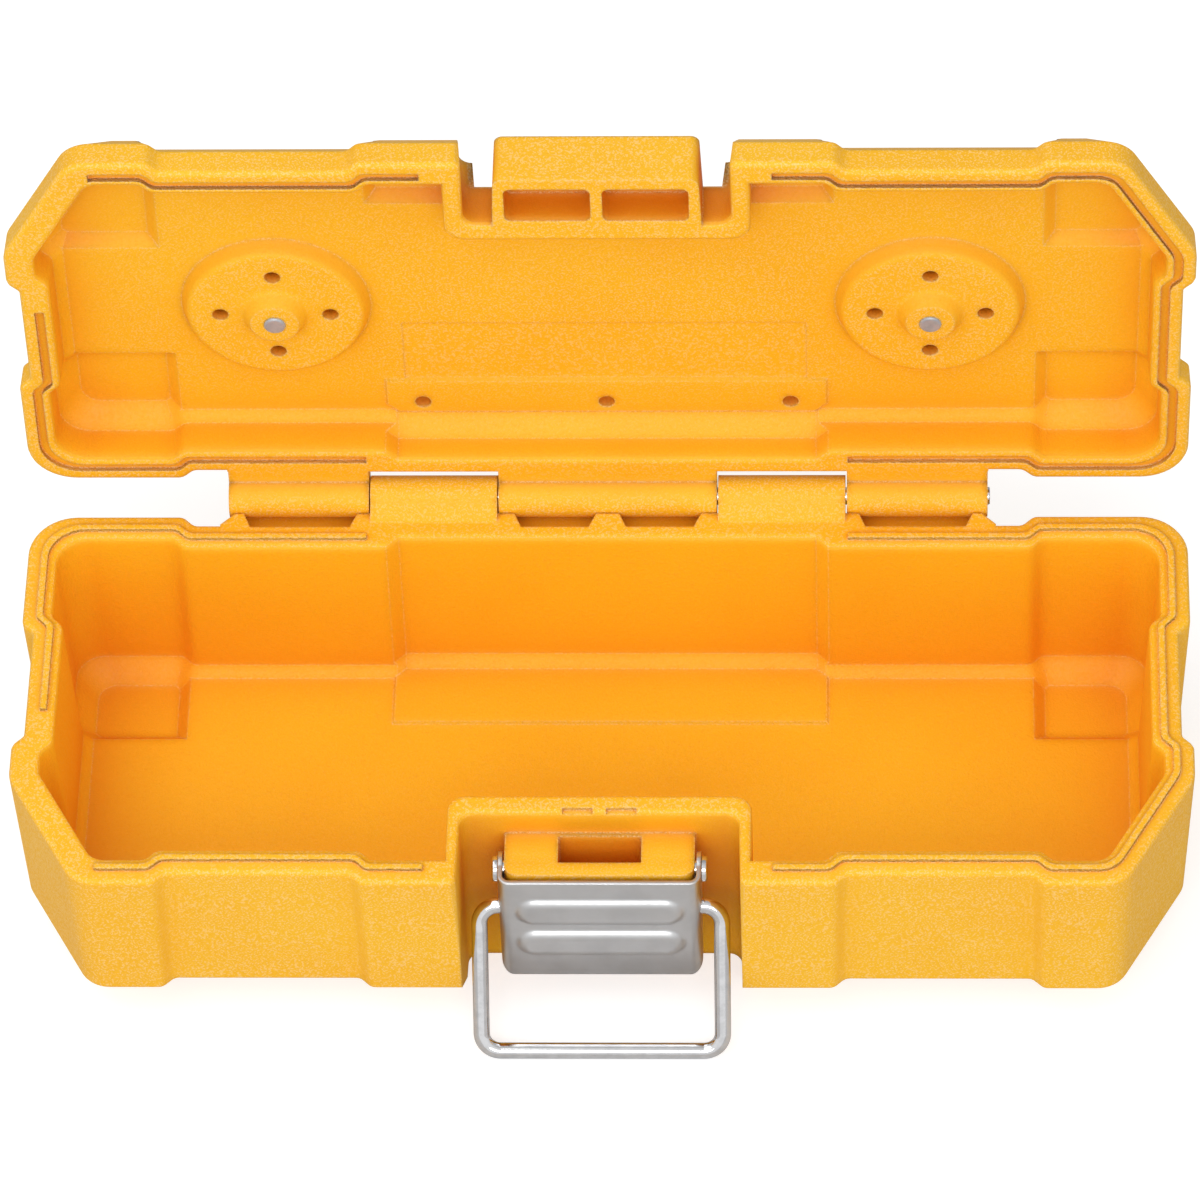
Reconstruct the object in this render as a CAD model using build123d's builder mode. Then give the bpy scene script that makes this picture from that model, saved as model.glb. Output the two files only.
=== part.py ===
from build123d import *
import os
from math import atan2, radians, sqrt, tan

os.makedirs("parts", exist_ok=True)

# Plan of the case, the same for both halves. The origin is the middle of the plane that the
# feet stand on, +X to the right, the latch at -Y and the lid's hinge at +Y.
half_width = 130.0
half_depth = 52.0
corner_cut_depth = 29.0
corner_cut_width = 16.0
bumper_proud = 2.6
wall = 6.6
rear_round = 10.5
cut_round = 8.0
round_loss = 0.5
step_round = 2.5
rim_round = 1.0
rim_bend = 1 - sqrt(0.5)
draft = 2.0

# Bumper pads, where their inner edges meet the core's faces
rear_pad_x = 93.0
rear_pad_y = 18.4
front_pad_x = 94.2
front_pad_y = 11.0
middle_pad_x = 54.0
middle_pad_y = 28.0
pad_shift = 0.3
pad_slope = 45
beyond = 20.0

# Base
base_height = 51.0
base_ease = 8.6
floor_thickness = 5.9
inner_ease = 2.2
floor_panel_height = 0.5
floor_panel_y = 25.8

# Lid
lid_height = 18.5
lid_ease = 9.1
roof_thickness = 5.1
roof_strip_height = 0.5
roof_strip_y = 30.0
roof_panel_depth = 0.3
panel_slope = 45
roof_panel_x = 45.0
roof_panel_y = 11.2
strip_hole_radius = 1.8
strip_hole_depth = 3.5
strip_hole_spacing = 41.2
strip_hole_y = 37.3
rim_gap = 0.2

# Recess in the back wall of both halves, behind the middle of the hinge
recess_x = 49.6
recess_wall = 3.9
recess_corner = 2.7
floor_recess_ease = 3.0
roof_recess_ease = 4.5

# Bead on the base's rim and its groove in the lid's rim
bead_inset = 3.9
bead_width = 1.5
bead_height = 0.9
bead_side_gap = 0.3
bead_top_gap = 0.4
bead_hinge_x = 54.0
bead_alcove_x = 38.0
bead_corner_x = 109.5
bead_corner_y = 4.4

# Latch alcove, cut through the front of both halves, and the housing that walls it off inside
alcove_half_width = 30.9
alcove_narrowing = 0.5
alcove_depth = 19.3
alcove_round = 3.0
alcove_edge_cut = 1.0
alcove_back_wall = 5.0
lid_alcove_half_width = 29.0
lid_alcove_widening = 1.6
lid_alcove_slope = 4.9
housing_half_width = 33.3
housing_round = 4.0
notch_x = 4.8
notch_width = 6.6
notch_reach = 1.3
notch_depth = 0.8

# Boss in the base's alcove that carries the lever
boss_half_width = 20.8
boss_reach = 11.9
boss_drop = 7.1
boss_nose = 8.4
boss_nose_slope = 1.5
boss_undercut = 4.1
boss_height = 20.0
boss_round = 3.0
boss_slot_width = 18.2
boss_slot_length = 7.2
boss_slot_depth = 12.0
boss_slot_back = 1.1

# Lever, a pressed steel channel
sheet = 1.0
lever_front_gap = 1.4
lever_side_gap = 0.4
lever_rise = 0.1
lever_height = 32.7
lever_bend = 2.6
lever_heel = 3.8
lever_toe = 4.6
lever_corner = 3.0
lever_waist = 14.0
rib_length = 37.0
rib_width = 8.8
rib_height = 1.3
rib_slope = 45
rib_round = 2.8
rib_foot_round = 1.2
rib_drop = 9.9
rib_spacing = 11.0

# Lever pins, one from each side into the boss
lever_pin_radius = 2.0
lever_pin_setback = 4.5
lever_pin_drop = 3.3
lever_pin_seat = 9.0
pin_head_radius = 2.9
pin_head_height = 1.3
pin_head_ease = 0.6
head_gap = 0.1
running_gap = 0.07

# Bail, a closed loop of wire
wire_radius = 1.8
bail_leg_x = 26.6
bail_length = 34.8
bail_bend = 4.2
bail_pivot_forward = 3.6
bail_pivot_drop = 8.5
bail_lift = 0.1

# Keeper block on the lid, which the bail hooks over
keeper_half_width = 22.8
keeper_reach = 14.4
keeper_height = 13.0
keeper_round = 2.0
keeper_narrowing = 0.6
keeper_web = 2.6
keeper_pocket_width = 18.7
keeper_pocket_length = 10.0
keeper_pocket_depth = 8.5
keeper_pocket_back = 1.4
keeper_pocket_round = 1.5

# Hinge
hinge_offset = 8.3
knuckle_radius = 4.7
knuckle_inner_x = 24.7
knuckle_middle_x = 53.6
knuckle_outer_x = 85.5
knuckle_gap = 0.3
web_reach = 2.4
hinge_pin_radius = 2.0
hinge_pin_proud = 0.4
ledge_x = 84.0
ledge_gap = 0.4
ledge_height = 9.0
hinge_pocket_cut = 0.7
inner_pocket_start = 2.6
inner_pocket_end = 21.0
outer_pocket_start = 56.4
outer_pocket_end = 82.0
hinge_pocket_depth = 5.1
hinge_shelf_y = 56.8

# Turn knobs outside the lid and the discs inside it that carry them
disc_x = 72.3
disc_y = 4.2
disc_base_radius = 21.0
disc_top_radius = 19.3
disc_height = 3.7
disc_round = 1.5
disc_root = 1.0
hub_round = 0.8
hub_base_radius = 7.4
hub_top_radius = 5.4
hub_height = 3.1
disc_hole_radius = 1.8
disc_hole_circle = 12.2
well_depth = 4.5
knob_radius = 16.4
knob_side_gap = 0.6
knob_floor_gap = 0.2
knob_flange = 2.7
knob_ease = 0.8
grip_width = 13.0
grip_height = 4.0
grip_inset = 1.5
counterbore_radius = 5.4
counterbore_depth = 2.6
washer_radius = 4.9
washer_thickness = 0.8
washer_gap = 0.1
rivet_radius = 2.4
rivet_proud = 0.5
rivet_head_radius = 4.2
rivet_head_height = 1.4
rivet_head_round = 1.1

core_half_width = half_width - bumper_proud
core_half_depth = half_depth - bumper_proud
alcove_back_y = half_depth - alcove_depth
housing_back_y = alcove_back_y - alcove_back_wall
rim_z = base_height
hinge_y = core_half_depth + hinge_offset
floor_depth = base_height - bumper_proud - floor_thickness
roof_depth = lid_height - bumper_proud - roof_thickness
recess_y = core_half_depth - recess_wall

# Depths run from each half's rim plane, down into the base and up into the closed lid. The
# lid is built open, with its rim plane upright over the hinge.
down, up = -1, 1
base_frame = Plane.XY.offset(rim_z)
lid_frame = Plane((0, hinge_y + rim_gap, rim_z + hinge_y), x_dir=(1, 0, 0), z_dir=(0, 1, 0))


# Depth and inset of the two flats that round the rim over
rim_levels = ((0, rim_round), (rim_bend * rim_round, rim_bend * rim_round), (rim_round, 0))


def outline_corners(inset):
    """Sharp corners of the plan inside the bumpers' outer faces by `inset`."""
    turn = atan2(corner_cut_width, corner_cut_depth)
    side = half_width - inset
    end = half_depth - inset
    cut_x = half_width - corner_cut_width - inset * tan((radians(90) - turn) / 2)
    cut_y = half_depth - corner_cut_depth - inset * tan(turn / 2)
    return side, end, cut_x, cut_y


def outline(inset):
    """Plan inside the bumpers' outer faces by `inset`, with its corners rounded."""
    side, end, cut_x, cut_y = outline_corners(inset)
    with BuildSketch() as plan:
        with BuildLine():
            Polyline((side, end), (side, -cut_y), (cut_x, -end), (-cut_x, -end),
                     (-side, -cut_y), (-side, end), close=True)
        make_face()
        fillet(plan.vertices().filter_by(lambda v: v.Y > 0), radius=rear_round - round_loss * inset)
        fillet(plan.vertices().filter_by(lambda v: v.Y < 0), radius=cut_round - round_loss * inset)
    return plan.sketch


def pad_edges(inset):
    """Where the bumper pads' steps leave the core: rear x, y, front x, y and middle x."""
    shift = pad_shift * inset
    return (rear_pad_x + shift, rear_pad_y + shift, front_pad_x + shift, front_pad_y + shift,
            middle_pad_x - shift)


def pad_plan(inset):
    """Regions of the plan where the bumpers stand proud, with their 45 degree steps."""
    side = core_half_width - inset
    end = core_half_depth - inset
    rear_x, rear_y, front_x, front_y, middle_x = pad_edges(inset)
    with BuildSketch() as pads:
        with BuildLine():
            Polyline((rear_x, rear_y), (side, rear_y), (side + beyond, rear_y + beyond),
                     (side + beyond, end + beyond), (rear_x + beyond, end + beyond),
                     (rear_x, end), close=True)
        make_face()
        with BuildLine():
            Polyline((front_x, -front_y), (side, -front_y), (side + beyond, -front_y - beyond),
                     (side + beyond, -end - beyond), (front_x + beyond, -end - beyond),
                     (front_x, -end), close=True)
        make_face()
        with BuildLine():
            Polyline((0, -middle_pad_y), (middle_x, -middle_pad_y), (middle_x, -end),
                     (middle_x - beyond, -end - beyond), (0, -end - beyond), close=True)
        make_face()
        mirror(about=Plane.YZ)
    return pads.sketch


def rim_plan(inset):
    """Plan of the core and its bumpers, inside their outer faces by `inset`, steps rounded."""
    side, end, cut_x, cut_y = outline_corners(inset)
    core_side = side - bumper_proud
    core_end = end - bumper_proud
    rear_x, rear_y, front_x, front_y, middle_x = pad_edges(inset)
    rear_corner = (side, end)
    cut_corners = ((side, -cut_y), (cut_x, -end))
    steps = ((rear_x, core_end), (rear_x + bumper_proud, end), (side, rear_y + bumper_proud),
             (core_side, rear_y), (core_side, -front_y), (side, -front_y - bumper_proud),
             (front_x + bumper_proud, -end), (front_x, -core_end), (middle_x, -core_end),
             (middle_x - bumper_proud, -end))

    def at(corners):
        """Filter for the vertices at these corners, on either side of the middle."""
        return lambda v: any(abs(abs(v.X) - x) + abs(v.Y - y) < step_round / 10 for x, y in corners)

    with BuildSketch() as plan:
        with BuildLine():
            Polyline((0, core_end), *steps[:2], rear_corner, *steps[2:6], *cut_corners, *steps[6:],
                     (0, -end))
            mirror(about=Plane.YZ)
        make_face()
        fillet(plan.vertices().filter_by(at([rear_corner])), radius=rear_round - round_loss * inset)
        fillet(plan.vertices().filter_by(at(cut_corners)), radius=cut_round - round_loss * inset)
        fillet(plan.vertices().filter_by(at(steps)), radius=step_round)
    return plan.sketch


def bumpered_block(frame, side, inset, depth, ease, rim_turn):
    """Drafted block of the rim's plan, sloped over `ease`, its pads proud of the far face.
    Its rim turns in where `rim_turn` is 1 and out where it is -1."""
    core_depth = depth - bumper_proud
    straight = core_depth - ease
    drafted = inset + straight * tan(radians(draft))
    far = drafted + ease
    with BuildPart() as pads:
        for level, edge in ((core_depth, far), (depth, far + bumper_proud)):
            with BuildSketch(frame.offset(side * level)):
                add(outline(edge))
        loft(ruled=True)
        with BuildSketch(frame.offset(side * core_depth)):
            add(pad_plan(far))
        extrude(amount=side * bumper_proud, taper=pad_slope, mode=Mode.INTERSECT)
    with BuildPart() as block:
        for level, turn in rim_levels:
            with BuildSketch(frame.offset(side * level)):
                add(rim_plan(inset + rim_turn * turn))
        for level, edge in ((straight, drafted), (core_depth, far)):
            with BuildSketch(frame.offset(side * level)):
                add(rim_plan(edge))
        loft(ruled=True)
        add(pads.part)
    return block.part


def alcove_plan(front_x, back_x, back_y, corner):
    """Plan of the latch alcove, or of the housing around it, from its half widths."""
    mouth_x = front_x + alcove_edge_cut
    mouth_y = half_depth - alcove_edge_cut
    with BuildSketch() as plan:
        with BuildLine():
            Polyline((mouth_x, -half_depth - beyond), (mouth_x, -half_depth), (front_x, -mouth_y),
                     (back_x, -back_y), (-back_x, -back_y), (-front_x, -mouth_y),
                     (-mouth_x, -half_depth), (-mouth_x, -half_depth - beyond), close=True)
        make_face()
        fillet(plan.vertices().group_by(Axis.Y)[-1], radius=corner)
    return plan.sketch


def alcove_block(frame, side, front_x, back_x, back_y, corner, depth, widening, rim_turn):
    """Block of that plan, `widening` wider on each side at its far end, its rim turned in or out."""
    with BuildPart() as block:
        for level, turn in rim_levels:
            with BuildSketch(frame.offset(side * level)):
                add(alcove_plan(front_x - rim_turn * turn, back_x - rim_turn * turn,
                                back_y + rim_turn * turn, corner))
        with BuildSketch(frame.offset(side * depth)):
            add(alcove_plan(front_x + widening, back_x + widening, back_y, corner))
        loft(ruled=True)
    return block.part


def back_strip(front_y, back_y):
    """Plan of a strip along the middle of the back wall, with 45 degree corners."""
    back_x = recess_x - recess_corner
    with BuildSketch() as strip:
        with BuildLine():
            Polyline((recess_x, front_y), (recess_x, back_y - recess_corner), (back_x, back_y),
                     (-back_x, back_y), (-recess_x, back_y - recess_corner), (-recess_x, front_y),
                     close=True)
        make_face()
    return strip.sketch


def hollow(frame, side, depth, strip_y, recess_ease):
    """Space inside one half, with pockets in its bumpers, around the alcove's housing."""
    recess_straight = depth - recess_ease
    drafted_y = recess_y - recess_straight * tan(radians(draft))
    with BuildPart() as recess:
        for level, turn in rim_levels:
            with BuildSketch(frame.offset(side * level)):
                add(back_strip(strip_y, recess_y + turn))
        for level, back_y in ((recess_straight, drafted_y), (depth, drafted_y - recess_ease)):
            with BuildSketch(frame.offset(side * level)):
                add(back_strip(strip_y, back_y))
        loft(ruled=True)
    with BuildPart() as space:
        add(bumpered_block(frame, side, wall, depth + bumper_proud, inner_ease, -1))
        add(recess.part)
        add(alcove_block(frame, side, housing_half_width, housing_half_width, housing_back_y,
                         housing_round, depth + beyond, 0, 1), mode=Mode.SUBTRACT)
    return space.part


def bead_plan(width):
    """Ring along the rim, left open at the hinge, the alcove and the left front corner."""
    with BuildSketch() as ring:
        add(rim_plan(bead_inset - width / 2))
        add(rim_plan(bead_inset + width / 2), mode=Mode.SUBTRACT)
        with Locations((0, core_half_depth)):
            Rectangle(2 * bead_hinge_x, half_depth, mode=Mode.SUBTRACT)
        with Locations((0, -core_half_depth)):
            Rectangle(2 * bead_alcove_x, half_depth, mode=Mode.SUBTRACT)
        with Locations((-bead_corner_x, -bead_corner_y)):
            Rectangle(half_width, 2 * half_depth, align=(Align.MAX, Align.MAX), mode=Mode.SUBTRACT)
    return ring.sketch


def knuckle(start, end, web):
    """Hinge knuckle from `start` to `end` along X, with its web to the wall."""
    with BuildPart() as barrel:
        with BuildSketch(Plane.YZ.offset(start + knuckle_gap / 2)):
            with Locations((hinge_y, rim_z)):
                Circle(knuckle_radius)
            with BuildLine():
                Polyline(*web, close=True)
            make_face()
        extrude(amount=end - start - knuckle_gap)
    return barrel.part


def cross_cylinder(y, z, radius, half_length):
    """Cylinder along X, centred on the middle of the case."""
    with BuildPart() as rod:
        with BuildSketch(Plane.YZ):
            with Locations((y, z)):
                Circle(radius)
        extrude(amount=half_length, both=True)
    return rod.part


def roof_plane(x, y, depth):
    """Plane in the lid at plan position (x, y), facing out of the roof."""
    return Plane(lid_frame.from_local_coords(Vector(x, y, depth)), x_dir=(1, 0, 0), z_dir=(0, 1, 0))


# Lever, pin and bail places, all from the boss
boss_front_y = -alcove_back_y - boss_reach
boss_top_z = rim_z - boss_drop
pin_y = boss_front_y + lever_pin_setback
pin_z = boss_top_z - lever_pin_drop
bail_y = pin_y - bail_pivot_forward
bail_z = pin_z - bail_pivot_drop
lever_front_y = boss_front_y - lever_front_gap - sheet
lever_top_z = boss_top_z + lever_rise
lever_bottom_z = lever_top_z - lever_height
lever_half_width = boss_half_width + lever_side_gap + sheet

# Base shell
ledge_y = hinge_y - knuckle_radius - ledge_gap
web_wall_y = core_half_depth + ledge_gap
web_root_y = core_half_depth - web_reach
base_web = ((web_root_y, rim_z), (web_wall_y, rim_z), (hinge_y, rim_z + knuckle_radius),
            (hinge_y, rim_z - knuckle_radius), (web_root_y, rim_z - knuckle_radius - hinge_offset))

with BuildPart() as lever_boss:
    boss_back_y = -alcove_back_y + alcove_back_wall / 2
    with BuildSketch(Plane.YZ.offset(-boss_half_width)):
        with BuildLine():
            Polyline((boss_back_y, boss_top_z), (boss_front_y, boss_top_z),
                     (boss_front_y, boss_top_z - boss_nose),
                     (boss_front_y + boss_undercut, boss_top_z - boss_nose - boss_nose_slope),
                     (boss_front_y + boss_undercut, boss_top_z - boss_height),
                     (boss_back_y, boss_top_z - boss_height - boss_undercut), close=True)
        make_face()
    extrude(amount=2 * boss_half_width)
    fillet(lever_boss.edges().filter_by(Axis.Z).group_by(Axis.Y)[0], radius=boss_round)

with BuildPart() as base_shell:
    add(bumpered_block(base_frame, down, 0, base_height, base_ease, 1))
    add(hollow(base_frame, down, floor_depth, floor_panel_y, floor_recess_ease), mode=Mode.SUBTRACT)
    add(alcove_block(base_frame, down, alcove_half_width, alcove_half_width - alcove_narrowing,
                     alcove_back_y, alcove_round, base_height + beyond, 0, -1), mode=Mode.SUBTRACT)
    with BuildSketch(base_frame.offset(down * floor_depth)):
        add(back_strip(floor_panel_y, recess_y - floor_recess_ease))
    extrude(amount=floor_panel_height, taper=panel_slope)
    with BuildSketch(base_frame):
        with Locations((-notch_x, -alcove_back_y), (notch_x, -alcove_back_y)):
            Rectangle(notch_width, notch_reach, align=(Align.CENTER, Align.MIN))
    extrude(amount=-notch_depth, mode=Mode.SUBTRACT)
    add(lever_boss.part)
    with BuildSketch(Plane.XY.offset(boss_top_z)):
        with Locations((0, -alcove_back_y - boss_slot_back)):
            Rectangle(boss_slot_width, boss_slot_length, align=(Align.CENTER, Align.MAX))
    extrude(amount=-boss_slot_depth, mode=Mode.SUBTRACT)
    for side in (-1, 1):
        with BuildSketch(Plane.YZ.offset(side * (boss_half_width - lever_pin_seat))):
            with Locations((pin_y, pin_z)):
                Circle(lever_pin_radius)
        extrude(amount=side * lever_pin_seat, mode=Mode.SUBTRACT)
    with BuildSketch(base_frame):
        add(bead_plan(bead_width))
    extrude(amount=bead_height)
    # Ledge under the lid's knuckles, with pockets over a shelf that reaches under them
    reach = ledge_y - core_half_depth
    with BuildSketch(base_frame):
        with BuildLine():
            Polyline((-ledge_x, ledge_y), (ledge_x, ledge_y), (ledge_x + reach, core_half_depth),
                     (ledge_x + reach, web_root_y), (-ledge_x - reach, web_root_y),
                     (-ledge_x - reach, core_half_depth), close=True)
        make_face()
    extrude(amount=-ledge_height)
    with BuildSketch(base_frame):
        pocket_y = core_half_depth - hinge_pocket_cut
        for start, end in ((inner_pocket_start, inner_pocket_end),
                           (outer_pocket_start, outer_pocket_end)):
            with BuildLine():
                Polyline((start, ledge_y), (start + reach / 2, pocket_y),
                         (end - reach / 2, pocket_y), (end, ledge_y), close=True)
            make_face()
        mirror(about=Plane.YZ)
    extrude(amount=-hinge_pocket_depth, mode=Mode.SUBTRACT)
    with BuildSketch(base_frame.offset(-hinge_pocket_depth)):
        with Locations((0, web_root_y)):
            Rectangle(2 * ledge_x, hinge_shelf_y - web_root_y, align=(Align.CENTER, Align.MIN))
    extrude(amount=hinge_pocket_depth - ledge_height)
    add(knuckle(-knuckle_middle_x, -knuckle_inner_x, base_web))
    add(knuckle(knuckle_inner_x, knuckle_middle_x, base_web))
    add(cross_cylinder(hinge_y, rim_z, hinge_pin_radius, half_width), mode=Mode.SUBTRACT)

# Lid shell, with its points given in plan and depth and turned up to the open place
def lid_point(y, depth):
    """Place in the YZ plane of a point of the open lid."""
    return (hinge_y + rim_gap + depth, rim_z + hinge_y - y)


core_lid_height = lid_height - bumper_proud
lid_straight = core_lid_height - lid_ease
lid_web = (lid_point(web_root_y, 0), lid_point(hinge_y, 0),
           lid_point(hinge_y, knuckle_radius - rim_gap), lid_point(core_half_depth, lid_straight),
           lid_point(web_root_y, lid_straight))
disc_top_depth = roof_depth - disc_height
hub_top_depth = disc_top_depth - hub_height
well_floor_depth = core_lid_height - well_depth

with BuildPart() as keeper:
    keeper_root_y = alcove_back_wall / 2 - alcove_back_y
    keeper_end_x = keeper_half_width - keeper_narrowing
    keeper_end_y = -alcove_back_y - keeper_reach
    with BuildSketch(lid_frame):
        with BuildLine():
            Polyline((-keeper_half_width, keeper_root_y), (keeper_half_width, keeper_root_y),
                     (keeper_end_x, keeper_end_y), (-keeper_end_x, keeper_end_y), close=True)
        make_face()
    extrude(amount=keeper_height)
    fillet(keeper.edges().filter_by(Axis.Y).group_by(Axis.Z)[-1], radius=keeper_round)
    with BuildSketch(lid_frame):
        pocket_x = (keeper_web + keeper_pocket_width) / 2
        pocket_y = -alcove_back_y - keeper_pocket_back - keeper_pocket_length / 2
        with Locations((-pocket_x, pocket_y), (pocket_x, pocket_y)):
            RectangleRounded(keeper_pocket_width, keeper_pocket_length, keeper_pocket_round)
    extrude(amount=keeper_pocket_depth, mode=Mode.SUBTRACT)

with BuildPart() as lid_shell:
    add(bumpered_block(lid_frame, up, 0, lid_height, lid_ease, 1))
    add(hollow(lid_frame, up, roof_depth, roof_strip_y, roof_recess_ease), mode=Mode.SUBTRACT)
    add(alcove_block(lid_frame, up, lid_alcove_half_width, lid_alcove_half_width, alcove_back_y,
                     alcove_round, lid_height, lid_alcove_widening, -1), mode=Mode.SUBTRACT)
    with BuildSketch(Plane.YZ.offset(-lid_alcove_half_width)):
        with BuildLine():
            Polyline(lid_point(-alcove_back_y, core_lid_height - lid_alcove_slope),
                     lid_point(-alcove_back_y + lid_alcove_slope, core_lid_height),
                     lid_point(-alcove_back_y + lid_alcove_slope, lid_height),
                     lid_point(-alcove_back_y, lid_height), close=True)
        make_face()
    extrude(amount=2 * lid_alcove_half_width, mode=Mode.SUBTRACT)
    with BuildSketch(lid_frame.offset(roof_depth)):
        add(back_strip(roof_strip_y, recess_y - roof_recess_ease))
    extrude(amount=-roof_strip_height, taper=panel_slope)
    with BuildSketch(lid_frame.offset(roof_depth)):
        with Locations((0, roof_panel_y)):
            Rectangle(2 * roof_panel_x, roof_strip_y - roof_panel_y, align=(Align.CENTER, Align.MIN))
    extrude(amount=roof_panel_depth, taper=panel_slope, mode=Mode.SUBTRACT)
    add(keeper.part)
    with BuildSketch(lid_frame.offset(roof_depth - roof_strip_height)):
        with Locations((0, strip_hole_y)):
            with GridLocations(strip_hole_spacing, 0, 3, 1):
                Circle(strip_hole_radius)
    extrude(amount=strip_hole_depth, mode=Mode.SUBTRACT)
    with BuildSketch(lid_frame):
        add(bead_plan(bead_width + 2 * bead_side_gap))
    extrude(amount=bead_height - rim_gap + bead_top_gap, mode=Mode.SUBTRACT)
    for x in (-disc_x, disc_x):
        disc_origin = lid_frame.from_local_coords(Vector(x, disc_y, 0))
        with BuildSketch(Plane(disc_origin, x_dir=(1, 0, 0), z_dir=(0, 0, 1))) as disc_profile:
            with BuildLine():
                Polyline((0, roof_depth + disc_root), (disc_base_radius, roof_depth + disc_root),
                         (disc_base_radius, roof_depth), (disc_top_radius, disc_top_depth),
                         (hub_base_radius, disc_top_depth), (hub_top_radius, hub_top_depth),
                         (0, hub_top_depth), close=True)
            make_face()
            hub_corner, disc_corners = disc_profile.vertices().group_by(Axis.Y)[:2]
            fillet(disc_corners, radius=disc_round)
            fillet(hub_corner.sort_by(Axis.X)[-1], radius=hub_round)
        revolve(axis=Axis(disc_origin, (0, 1, 0)))
        with BuildSketch(roof_plane(x, disc_y, well_floor_depth)):
            Circle(knob_radius + knob_side_gap)
        extrude(amount=lid_height, mode=Mode.SUBTRACT)
        with BuildSketch(roof_plane(x, disc_y, 0)):
            Circle(rivet_radius)
            with PolarLocations(disc_hole_circle, 4):
                Circle(disc_hole_radius)
        extrude(amount=lid_height, mode=Mode.SUBTRACT)
    # Square outer edge of the rim along the hinge, close over the base's knuckles
    with BuildSketch(lid_frame):
        with Locations((0, core_half_depth)):
            Rectangle(2 * knuckle_outer_x, rim_round, align=(Align.CENTER, Align.MAX))
    extrude(amount=rim_round)
    add(knuckle(-knuckle_outer_x, -knuckle_middle_x, lid_web))
    add(knuckle(-knuckle_inner_x, knuckle_inner_x, lid_web))
    add(knuckle(knuckle_middle_x, knuckle_outer_x, lid_web))
    add(cross_cylinder(hinge_y, rim_z, hinge_pin_radius + running_gap, half_width),
        mode=Mode.SUBTRACT)

with BuildPart() as hinge_pin:
    with BuildSketch(Plane.YZ.offset(-knuckle_outer_x + knuckle_gap)):
        with Locations((hinge_y, rim_z)):
            Circle(hinge_pin_radius)
    extrude(amount=2 * knuckle_outer_x - knuckle_gap + hinge_pin_proud)
    chamfer(hinge_pin.edges().filter_by(GeomType.CIRCLE), length=hinge_pin_proud / 2)


# Lever: a channel bent round the boss, its flanges cut to the heel round the pin
with BuildPart() as latch_lever:
    lever_head_z = pin_z + lever_heel
    lever_depth = pin_y + lever_heel - lever_front_y
    with BuildSketch(Plane.XY.offset(lever_head_z)) as channel_plan:
        with Locations((0, lever_front_y)):
            Rectangle(2 * lever_half_width, lever_depth, align=(Align.CENTER, Align.MIN))
        fillet(channel_plan.vertices().group_by(Axis.Y)[0], radius=lever_bend)
    extrude(amount=lever_bottom_z - lever_head_z)
    with BuildSketch(Plane.XY.offset(lever_head_z)) as channel_space:
        with Locations((0, lever_front_y + sheet)):
            Rectangle(2 * (lever_half_width - sheet), lever_depth, align=(Align.CENTER, Align.MIN))
        fillet(channel_space.vertices().group_by(Axis.Y)[0], radius=lever_bend - sheet)
    extrude(amount=lever_bottom_z - lever_head_z, mode=Mode.SUBTRACT)
    with BuildSketch(Plane.YZ.offset(-lever_half_width)):
        with BuildLine():
            Polyline((lever_front_y, lever_top_z), (pin_y, lever_top_z),
                     (pin_y + lever_heel, pin_z), (pin_y + lever_heel, pin_z - lever_waist / 2),
                     (lever_front_y + lever_toe, lever_bottom_z), (lever_front_y, lever_bottom_z),
                     close=True)
        make_face()
        with Locations((pin_y, pin_z)):
            Circle(lever_heel)
    extrude(amount=2 * lever_half_width, mode=Mode.INTERSECT)
    with BuildSketch(Plane.XZ) as front_view:
        with Locations((0, lever_head_z)):
            Rectangle(2 * lever_half_width, lever_head_z - lever_bottom_z,
                      align=(Align.CENTER, Align.MAX))
        fillet(front_view.vertices().group_by(Axis.Y)[0], radius=lever_corner)
    extrude(amount=half_depth, both=True, mode=Mode.INTERSECT)
    with BuildSketch(Plane.XZ.offset(-lever_front_y)):
        with Locations((0, lever_top_z - rib_drop), (0, lever_top_z - rib_drop - rib_spacing)):
            SlotOverall(rib_length, rib_width)
    extrude(amount=rib_height, taper=rib_slope)
    fillet(latch_lever.edges().group_by(Axis.Y)[0], radius=rib_round)
    rib_reach = rib_length / 2 + rib_height
    rib_feet = latch_lever.edges().filter_by(
        lambda e: abs(e.center().Y - lever_front_y) < running_gap and abs(e.center().X) < rib_reach
        and lever_bottom_z + lever_corner < e.center().Z < lever_top_z - rib_height)
    fillet(rib_feet, radius=rib_foot_round)
    add(cross_cylinder(pin_y, pin_z, lever_pin_radius + running_gap, half_width), mode=Mode.SUBTRACT)
    add(cross_cylinder(bail_y, bail_z, wire_radius + running_gap, half_width), mode=Mode.SUBTRACT)


def lever_pin(side):
    """Headed pin through one flange of the lever into the boss."""
    seat_x = boss_half_width - lever_pin_seat
    head_x = lever_half_width + head_gap
    with BuildPart() as pin:
        with BuildSketch(Plane.YZ.offset(side * seat_x)):
            with Locations((pin_y, pin_z)):
                Circle(lever_pin_radius)
        extrude(amount=side * (head_x - seat_x))
        with BuildSketch(Plane.YZ.offset(side * head_x)):
            with Locations((pin_y, pin_z)):
                Circle(pin_head_radius)
        extrude(amount=side * pin_head_height)
        fillet(pin.faces().sort_by(Axis.X)[0 if side < 0 else -1].edges(), radius=pin_head_ease)
    return pin


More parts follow.
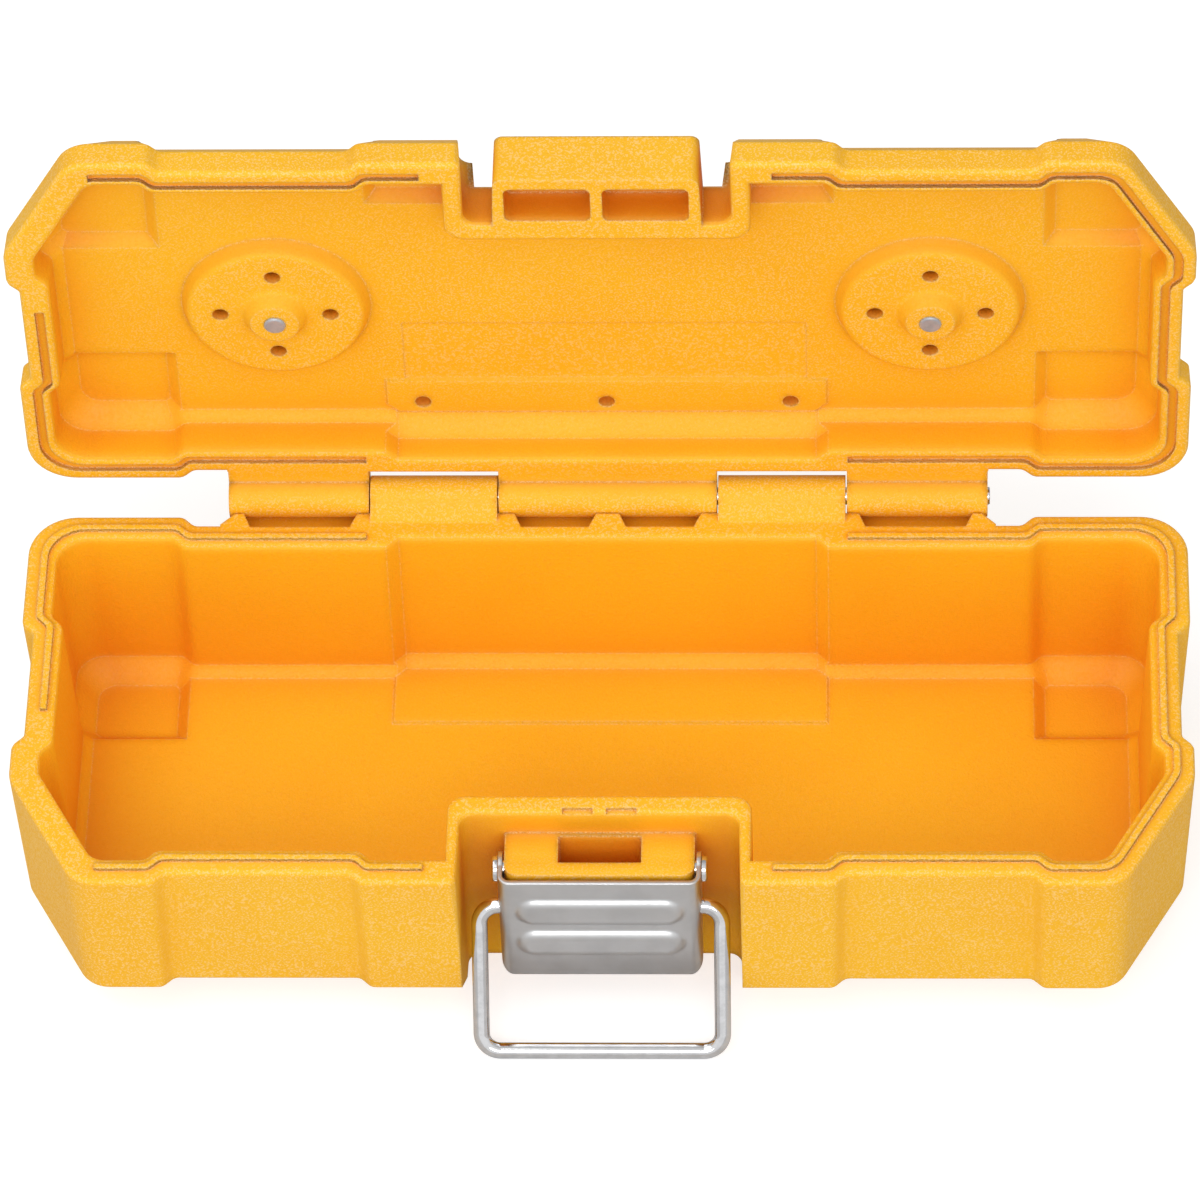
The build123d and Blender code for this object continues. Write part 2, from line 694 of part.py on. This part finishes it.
# Bail: its upper run passes through both flanges, its lower run leans out to the ground
with BuildPart() as bail_wire:
    bail_fall = bail_z - wire_radius - bail_lift
    bail_lean = sqrt(bail_length ** 2 - bail_fall ** 2)
    bail_plane = Plane((0, bail_y, bail_z), x_dir=(1, 0, 0), z_dir=(0, -bail_fall, bail_lean))
    with BuildLine(bail_plane) as loop:
        FilletPolyline((0, 0), (bail_leg_x, 0), (bail_leg_x, -bail_length),
                       (-bail_leg_x, -bail_length), (-bail_leg_x, 0), (-bail_bend, 0),
                       radius=bail_bend)
        Line((-bail_bend, 0), (0, 0))
    with BuildSketch(Plane.YZ):
        with Locations((bail_y, bail_z)):
            Circle(wire_radius)
    sweep()


def turn_knob(x):
    """Knob in its well in the roof: a round flange with a grip bar across it."""
    flange_depth = well_floor_depth + knob_floor_gap
    grip_depth = flange_depth + knob_flange
    with BuildPart() as knob:
        with BuildSketch(roof_plane(x, disc_y, flange_depth)):
            Circle(knob_radius)
        extrude(amount=knob_flange)
        fillet(knob.faces().sort_by(Axis.Y)[-1].edges(), radius=knob_ease)
        with BuildSketch(roof_plane(x, disc_y, grip_depth)):
            SlotOverall(2 * (knob_radius - grip_inset), grip_width)
        extrude(amount=grip_height)
        fillet(knob.faces().sort_by(Axis.Y)[-1].edges(), radius=knob_ease)
        with BuildSketch(roof_plane(x, disc_y, grip_depth + grip_height - counterbore_depth)):
            Circle(counterbore_radius)
        extrude(amount=counterbore_depth, mode=Mode.SUBTRACT)
        with BuildSketch(roof_plane(x, disc_y, flange_depth)):
            Circle(rivet_radius + running_gap)
        extrude(amount=knob_flange + grip_height, mode=Mode.SUBTRACT)
    return knob


def knob_washer(x):
    """Washer between the knob and its rivet's head."""
    with BuildPart() as washer:
        with BuildSketch(roof_plane(x, disc_y, washer_depth)):
            Circle(washer_radius)
            Circle(rivet_radius, mode=Mode.SUBTRACT)
        extrude(amount=washer_thickness)
    return washer


def knob_rivet(x):
    """Rivet from the hub inside the lid to its domed head on the washer."""
    tail_depth = hub_top_depth - rivet_proud
    head_depth = washer_depth + washer_thickness
    with BuildPart() as rivet:
        with BuildSketch(roof_plane(x, disc_y, tail_depth)):
            Circle(rivet_radius)
        extrude(amount=head_depth - tail_depth)
        fillet(rivet.faces().sort_by(Axis.Y)[0].edges(), radius=rivet_proud)
        with BuildSketch(roof_plane(x, disc_y, head_depth)):
            Circle(rivet_head_radius)
        extrude(amount=rivet_head_height)
        fillet(rivet.faces().sort_by(Axis.Y)[-1].edges(), radius=rivet_head_round)
    return rivet


washer_depth = (well_floor_depth + knob_floor_gap + knob_flange + grip_height
                - counterbore_depth + washer_gap)

pieces = {
    "base_shell": base_shell,
    "lid_shell": lid_shell,
    "hinge_pin": hinge_pin,
    "latch_lever": latch_lever,
    "bail_wire": bail_wire,
}
for hand, side in (("left", -1), ("right", 1)):
    pieces["lever_pin_" + hand] = lever_pin(side)
    pieces["turn_knob_" + hand] = turn_knob(side * disc_x)
    pieces["knob_washer_" + hand] = knob_washer(side * disc_x)
    pieces["knob_rivet_" + hand] = knob_rivet(side * disc_x)

for name, piece in pieces.items():
    piece.part.label = name
    export_step(piece.part, "parts/" + name + ".step")
    print(name, round(piece.part.volume, 1))
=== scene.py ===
import math

import bpy
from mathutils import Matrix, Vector

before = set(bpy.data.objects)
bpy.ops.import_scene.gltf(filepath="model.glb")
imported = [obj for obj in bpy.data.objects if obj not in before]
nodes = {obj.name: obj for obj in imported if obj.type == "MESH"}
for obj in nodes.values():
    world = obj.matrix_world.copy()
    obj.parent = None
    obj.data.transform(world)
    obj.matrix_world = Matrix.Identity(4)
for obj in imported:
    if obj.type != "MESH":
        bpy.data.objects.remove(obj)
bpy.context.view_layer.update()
print("stage: frame loaded,", len(nodes), "nodes")

white = (1.0, 1.0, 1.0)
# Rays that the edge rounding and the corner shade use for each point
shadeSamples = 6
# Cosine between flat and rounded normal, from no edge to a full edge
edgeTurn = (0.99, 0.86)
# The Mix node's sockets share their names, so they are reached by number:
# factor, first, second and the result
mixSockets = {"RGBA": (0, 6, 7, 2), "VECTOR": (0, 4, 5, 1)}


# The material is returned with its tree, its shader and its object coordinates
def startMaterial(name):
    material = bpy.data.materials.new(name)
    material.use_nodes = True
    tree = material.node_tree
    coords = addNode(tree, "ShaderNodeTexCoord").outputs["Object"]
    return material, tree, tree.nodes["Principled BSDF"], coords


def addNode(tree, kind, **settings):
    node = tree.nodes.new(kind)
    for key, value in settings.items():
        setattr(node, key, value)
    return node


# A socket takes a link from another socket, a colour or a number
def feed(tree, socket, value):
    if isinstance(value, bpy.types.NodeSocket):
        tree.links.new(value, socket)
    elif socket.type == "RGBA":
        socket.default_value = (*value, 1.0)
    else:
        socket.default_value = value


# Grain is scale, detail and roughness
def noise(tree, coords, grain, stretch=None):
    if stretch is not None:
        mapping = addNode(tree, "ShaderNodeMapping")
        mapping.inputs["Scale"].default_value = stretch
        tree.links.new(coords, mapping.inputs["Vector"])
        coords = mapping.outputs["Vector"]
    node = addNode(tree, "ShaderNodeTexNoise")
    for socket, number in zip(("Scale", "Detail", "Roughness"), grain):
        feed(tree, node.inputs[socket], number)
    tree.links.new(coords, node.inputs["Vector"])
    return node.outputs["Fac"]


# Smooth ramp from one range of numbers to another
def spread(tree, value, source, target=(0.0, 1.0)):
    node = addNode(tree, "ShaderNodeMapRange", interpolation_type="SMOOTHSTEP")
    ends = ("From Min", "From Max", "To Min", "To Max")
    for socket, number in zip(ends, (*source, *target)):
        feed(tree, node.inputs[socket], number)
    feed(tree, node.inputs["Value"], value)
    return node.outputs["Result"]


def mix(tree, kind, factor, first, second):
    node = addNode(tree, "ShaderNodeMix", data_type=kind)
    *inputs, result = mixSockets[kind]
    for place, value in zip(inputs, (factor, first, second)):
        feed(tree, node.inputs[place], value)
    return node.outputs[result]


def combine(tree, operation, first, second):
    node = addNode(tree, "ShaderNodeMath", operation=operation)
    feed(tree, node.inputs[0], first)
    feed(tree, node.inputs[1], second)
    return node.outputs[0]


def bump(tree, height, distance, strength, under):
    node = addNode(tree, "ShaderNodeBump")
    feed(tree, node.inputs["Distance"], distance)
    feed(tree, node.inputs["Strength"], strength)
    feed(tree, node.inputs["Height"], height)
    feed(tree, node.inputs["Normal"], under)
    return node.outputs["Normal"]


# Shading normal rounded over edges and corners
def roundedNormal(tree, radius):
    node = addNode(tree, "ShaderNodeBevel", samples=shadeSamples)
    feed(tree, node.inputs["Radius"], radius)
    return node.outputs["Normal"]


# That normal, and a mask that is 1 on sharp edges
def softEdges(tree, radius):
    rounded = roundedNormal(tree, radius)
    geometry = addNode(tree, "ShaderNodeNewGeometry")
    dot = addNode(tree, "ShaderNodeVectorMath", operation="DOT_PRODUCT")
    feed(tree, dot.inputs[0], rounded)
    feed(tree, dot.inputs[1], geometry.outputs["Normal"])
    return rounded, spread(tree, dot.outputs["Value"], edgeTurn)


# 1 in the open and 0 deep in a corner of the same piece
def openness(tree, distance):
    node = addNode(tree, "ShaderNodeAmbientOcclusion", samples=shadeSamples, only_local=True)
    feed(tree, node.inputs["Distance"], distance)
    return node.outputs["AO"]


# Lengths are in metres. A range whose name ends in Amount is what its mask
# gives at its two ends
caseFinish = {
    "body": (0.950, 0.500, 0.007),
    "warm": (0.940, 0.465, 0.005),
    # Deeper orange, painted in as shade in corners and cavities
    "recess": (0.780, 0.235, 0.004),
    # Pale grain colour, also used as a painted sheen and a painted edge highlight
    "paleGrainAndSheen": (1.000, 0.680, 0.290),
    "freckle": (0.860, 0.340, 0.010),
    "clouds": (24.0, 3.0, 0.5),
    "cloudRange": (0.3, 0.7),
    "grain": (2050.0, 1.0, 0.6),
    "fleckRange": (0.52, 0.62),
    # Stronger on open outer faces, where the flecks stand partly for a painted sheen
    "fleckSheenAmount": (0.02, 0.50),
    "speck": (1230.0, 1.0, 0.6),
    "speckRange": (0.58, 0.70),
    "speckAmount": (0.0, 0.20),
    "cavityReach": 0.110,
    "cavityRange": (0.50, 0.15),
    "cavityShadeAmount": (0.0, 0.75),
    "outsideRange": (0.80, 0.96),
    "recessReach": 0.018,
    "recessRange": (0.88, 0.35),
    "recessAmount": (0.0, 0.90),
    "edgeRadius": 0.0009,
    "cornerRadius": 0.0038,
    "edgeGrain": (0.42, 0.58),
    # Pale on sharp edges, partly grain and partly a painted highlight
    "edgeHighlightAmount": (0.1, 0.75),
    "grainHeight": 0.00014,
    "grainBump": 0.6,
    "speckBump": 0.4,
    "roughRange": (0.3, 0.7),
    "roughness": (0.50, 0.66),
    "specular": 0.45,
}


# Grained outside, smoother and plainer inside, with painted shade deepening the orange in
# corners and cavities, and with pale flecks and edges that are partly grain and partly a
# painted sheen and highlight
def casePlastic():
    material, tree, shader, coords = startMaterial("case_plastic")
    finish = caseFinish
    clouds = noise(tree, coords, finish["clouds"])
    grain = noise(tree, coords, finish["grain"])
    speck = noise(tree, coords, finish["speck"])
    cavity = openness(tree, finish["cavityReach"])
    corners = openness(tree, finish["recessReach"])
    outside = spread(tree, cavity, finish["outsideRange"])

    # Painted shade: the colour turns deeper orange in corners and cavities, where shade falls
    paintedCornerShade = combine(tree, "MAXIMUM",
                     spread(tree, corners, finish["recessRange"], finish["recessAmount"]),
                     spread(tree, cavity, finish["cavityRange"], finish["cavityShadeAmount"]))
    freckles = spread(tree, speck, finish["speckRange"], finish["speckAmount"])
    tone = mix(tree, "RGBA", spread(tree, clouds, finish["cloudRange"]),
               finish["warm"], finish["body"])
    tone = mix(tree, "RGBA", paintedCornerShade, tone, finish["recess"])
    tone = mix(tree, "RGBA", freckles, tone, finish["freckle"])

    edgeNormal, edge = softEdges(tree, finish["edgeRadius"])
    # Pale flecks, strongest on open outer faces, partly grain and partly a painted sheen
    paleFlecksAndSheen = combine(tree, "MULTIPLY", spread(tree, grain, finish["fleckRange"]),
                     spread(tree, outside, (0.0, 1.0), finish["fleckSheenAmount"]))
    # Pale grain on sharp edges, partly a painted highlight
    rimGrainAndHighlight = combine(tree, "MULTIPLY", edge,
                  spread(tree, grain, finish["edgeGrain"], finish["edgeHighlightAmount"]))
    tone = mix(tree, "RGBA", combine(tree, "MAXIMUM", paleFlecksAndSheen, rimGrainAndHighlight), tone, finish["paleGrainAndSheen"])
    feed(tree, shader.inputs["Base Color"], tone)
    feed(tree, shader.inputs["Roughness"],
         spread(tree, speck, finish["roughRange"], finish["roughness"]))
    feed(tree, shader.inputs["Specular IOR Level"], finish["specular"])

    # Inner corners are rounded more widely than the edges outside
    corner = roundedNormal(tree, finish["cornerRadius"])
    normal = mix(tree, "VECTOR", outside, corner, edgeNormal)
    normal = bump(tree, grain, finish["grainHeight"], finish["grainBump"], normal)
    normal = bump(tree, speck, finish["grainHeight"], finish["speckBump"], normal)
    feed(tree, shader.inputs["Normal"], normal)
    return material


leverFinish = {
    "light": (0.66, 0.66, 0.665),
    "dark": (0.60, 0.60, 0.605),
    # Paler grey, painted on sharp edges as a highlight
    "edge": (0.84, 0.84, 0.85),
    "edgeRadius": 0.0007,
    "edgeHighlightAmount": 0.5,
    "clouds": (140.0, 3.0, 0.5),
    "cloudRange": (0.3, 0.7),
    "brush": (3400.0, 3.0, 0.7),
    "brushStretch": (0.05, 1.0, 1.0),
    "brushHeight": 0.00001,
    "brushBump": 0.35,
    "roughRange": (0.25, 0.75),
    "roughness": (0.30, 0.40),
}


# Pressed sheet, brushed along the case, with a painted highlight on its sharp edges
def leverSteel():
    material, tree, shader, coords = startMaterial("lever_steel")
    finish = leverFinish
    brush = noise(tree, coords, finish["brush"], finish["brushStretch"])
    clouds = noise(tree, coords, finish["clouds"])
    edgeNormal, edge = softEdges(tree, finish["edgeRadius"])
    tone = mix(tree, "RGBA", spread(tree, clouds, finish["cloudRange"]),
               finish["dark"], finish["light"])
    # Painted highlight: paler grey on the sharp edges
    tone = mix(tree, "RGBA", combine(tree, "MULTIPLY", edge, finish["edgeHighlightAmount"]),
               tone, finish["edge"])
    feed(tree, shader.inputs["Base Color"], tone)
    feed(tree, shader.inputs["Roughness"],
         spread(tree, brush, finish["roughRange"], finish["roughness"]))
    feed(tree, shader.inputs["Metallic"], 1.0)
    feed(tree, shader.inputs["Normal"],
         bump(tree, brush, finish["brushHeight"], finish["brushBump"], edgeNormal))
    return material


brightFinish = {
    "body": (0.78, 0.78, 0.79),
    "dull": (0.66, 0.66, 0.67),
    "clouds": (260.0, 4.0, 0.6),
    "cloudRange": (0.35, 0.68),
    "edgeRadius": 0.0003,
    "scuffs": (2600.0, 2.0, 0.6),
    "scuffHeight": 0.00001,
    "scuffBump": 0.3,
    "roughRange": (0.3, 0.7),
    "roughness": (0.04, 0.09),
    "metallic": 1.0,
}
# The rivets are a duller alloy than the wire and the pins
rivetFinish = {
    **brightFinish,
    "body": (0.50, 0.53, 0.57),
    "dull": (0.38, 0.41, 0.45),
    "edgeRadius": 0.0006,
    "scuffs": (1500.0, 2.0, 0.6),
    "scuffHeight": 0.00005,
    "roughness": (0.36, 0.50),
    "metallic": 0.45,
}


def steel(name, finish):
    material, tree, shader, coords = startMaterial(name)
    clouds = noise(tree, coords, finish["clouds"])
    scuffs = noise(tree, coords, finish["scuffs"])
    rounded = roundedNormal(tree, finish["edgeRadius"])
    tone = mix(tree, "RGBA", spread(tree, clouds, finish["cloudRange"]),
               finish["body"], finish["dull"])
    feed(tree, shader.inputs["Base Color"], tone)
    feed(tree, shader.inputs["Roughness"],
         spread(tree, clouds, finish["roughRange"], finish["roughness"]))
    feed(tree, shader.inputs["Metallic"], finish["metallic"])
    feed(tree, shader.inputs["Normal"],
         bump(tree, scuffs, finish["scuffHeight"], finish["scuffBump"], rounded))
    return material


knobFinish = {
    "body": (0.020, 0.020, 0.022),
    "worn": (0.050, 0.050, 0.053),
    "clouds": (90.0, 3.0, 0.5),
    "wearRange": (0.35, 0.65),
    "wearAmount": (0.2, 0.9),
    "edgeRadius": 0.0006,
    "grain": (2400.0, 2.5, 0.6),
    "grainHeight": 0.00008,
    "grainBump": 0.7,
    "roughRange": (0.3, 0.7),
    "roughness": (0.42, 0.58),
}


# Black plastic, paler where hands wear its edges
def knobPlastic():
    material, tree, shader, coords = startMaterial("knob_plastic")
    finish = knobFinish
    grain = noise(tree, coords, finish["grain"])
    clouds = noise(tree, coords, finish["clouds"])
    edgeNormal, edge = softEdges(tree, finish["edgeRadius"])
    wear = combine(tree, "MULTIPLY", edge,
                   spread(tree, clouds, finish["wearRange"], finish["wearAmount"]))
    feed(tree, shader.inputs["Base Color"],
         mix(tree, "RGBA", wear, finish["body"], finish["worn"]))
    feed(tree, shader.inputs["Roughness"],
         spread(tree, clouds, finish["roughRange"], finish["roughness"]))
    feed(tree, shader.inputs["Normal"],
         bump(tree, grain, finish["grainHeight"], finish["grainBump"], edgeNormal))
    return material


finishes = {
    casePlastic(): ("base_shell", "lid_shell"),
    leverSteel(): ("latch_lever",),
    knobPlastic(): ("turn_knob_left", "turn_knob_right"),
    steel("bright_steel", brightFinish): (
        "hinge_pin", "bail_wire", "lever_pin_left", "lever_pin_right",
        "knob_washer_left", "knob_washer_right"),
    steel("rivet_steel", rivetFinish): ("knob_rivet_left", "knob_rivet_right"),
}
for material, names in finishes.items():
    for name in names:
        nodes[name].data.materials.clear()
        nodes[name].data.materials.append(material)
print("stage: materials on", sum(len(names) for names in finishes.values()), "nodes")


studio = {
    "floorSize": 6.0,
    "floorColour": (0.56, 0.56, 0.56),
    "floorRoughness": 0.9,
    "floorGlow": 0.62,
    "skyFront": 0.90,
    "skyBack": 0.40,
    "skyTurn": (-0.6, 0.8),
}
# Place, aim, size and power of each lamp, in metres and watts
lamps = {
    "front_box": ((0.0, -1.10, 0.90), (0.0, -0.03, 0.03), (1.0, 0.5), 6.6),
    "top_box": ((-0.60, -0.05, 1.50), (0.0, 0.0, 0.03), (1.5, 1.0), 6.2),
}
# Lengths in metres, lens and sensor in millimetres, turn in degrees
view = {
    "place": (0.06179, -1.08841, 1.40526),
    "turn": (39.502, 1.6018, 1.2875),
    "lens": 236.33,
    "sensor": 36.0,
    "clip": 0.05,
}


# 1 for the rays that see the white background and not the light's own level
def plainRays(tree):
    path = addNode(tree, "ShaderNodeLightPath")
    return combine(tree, "MAXIMUM", path.outputs["Is Camera Ray"],
                   path.outputs["Is Transmission Ray"])


def makeFloor():
    bpy.ops.mesh.primitive_plane_add(size=studio["floorSize"])
    floor = bpy.context.object
    floor.name = "floor"
    material, tree, shader, _ = startMaterial("floor_paper")
    feed(tree, shader.inputs["Base Color"], studio["floorColour"])
    feed(tree, shader.inputs["Roughness"], studio["floorRoughness"])
    feed(tree, shader.inputs["Specular IOR Level"], 0.0)
    feed(tree, shader.inputs["Emission Color"], white)
    feed(tree, shader.inputs["Emission Strength"],
         combine(tree, "MULTIPLY", plainRays(tree), studio["floorGlow"]))
    floor.data.materials.append(material)


# Brighter on the side that faces the latch
def makeSky():
    world = bpy.data.worlds.new("sky")
    bpy.context.scene.world = world
    world.use_nodes = True
    tree = world.node_tree
    background = tree.nodes["Background"]
    feed(tree, background.inputs["Color"], white)
    direction = addNode(tree, "ShaderNodeSeparateXYZ")
    feed(tree, direction.inputs[0], addNode(tree, "ShaderNodeTexCoord").outputs["Generated"])
    light = spread(tree, direction.outputs["Y"], studio["skyTurn"],
                   (studio["skyFront"], studio["skyBack"]))
    feed(tree, background.inputs["Strength"], combine(tree, "MAXIMUM", plainRays(tree), light))


def makeLamp(name, place, aim, size, power):
    data = bpy.data.lights.new(name, "AREA")
    data.shape = "RECTANGLE"
    data.size, data.size_y = size
    data.energy = power
    lamp = bpy.data.objects.new(name, data)
    bpy.context.scene.collection.objects.link(lamp)
    lamp.location = place
    lamp.rotation_euler = (Vector(aim) - Vector(place)).to_track_quat("-Z", "Y").to_euler()


def makeCamera():
    data = bpy.data.cameras.new("camera")
    data.lens = view["lens"]
    data.sensor_width = view["sensor"]
    data.clip_start = view["clip"]
    camera = bpy.data.objects.new("camera", data)
    bpy.context.scene.collection.objects.link(camera)
    camera.location = view["place"]
    camera.rotation_euler = [math.radians(angle) for angle in view["turn"]]
    bpy.context.scene.camera = camera


makeFloor()
makeSky()
for name, (place, aim, size, power) in lamps.items():
    makeLamp(name, place, aim, size, power)
makeCamera()
bpy.context.scene.view_settings.view_transform = "Standard"
print("stage: floor, light and camera")
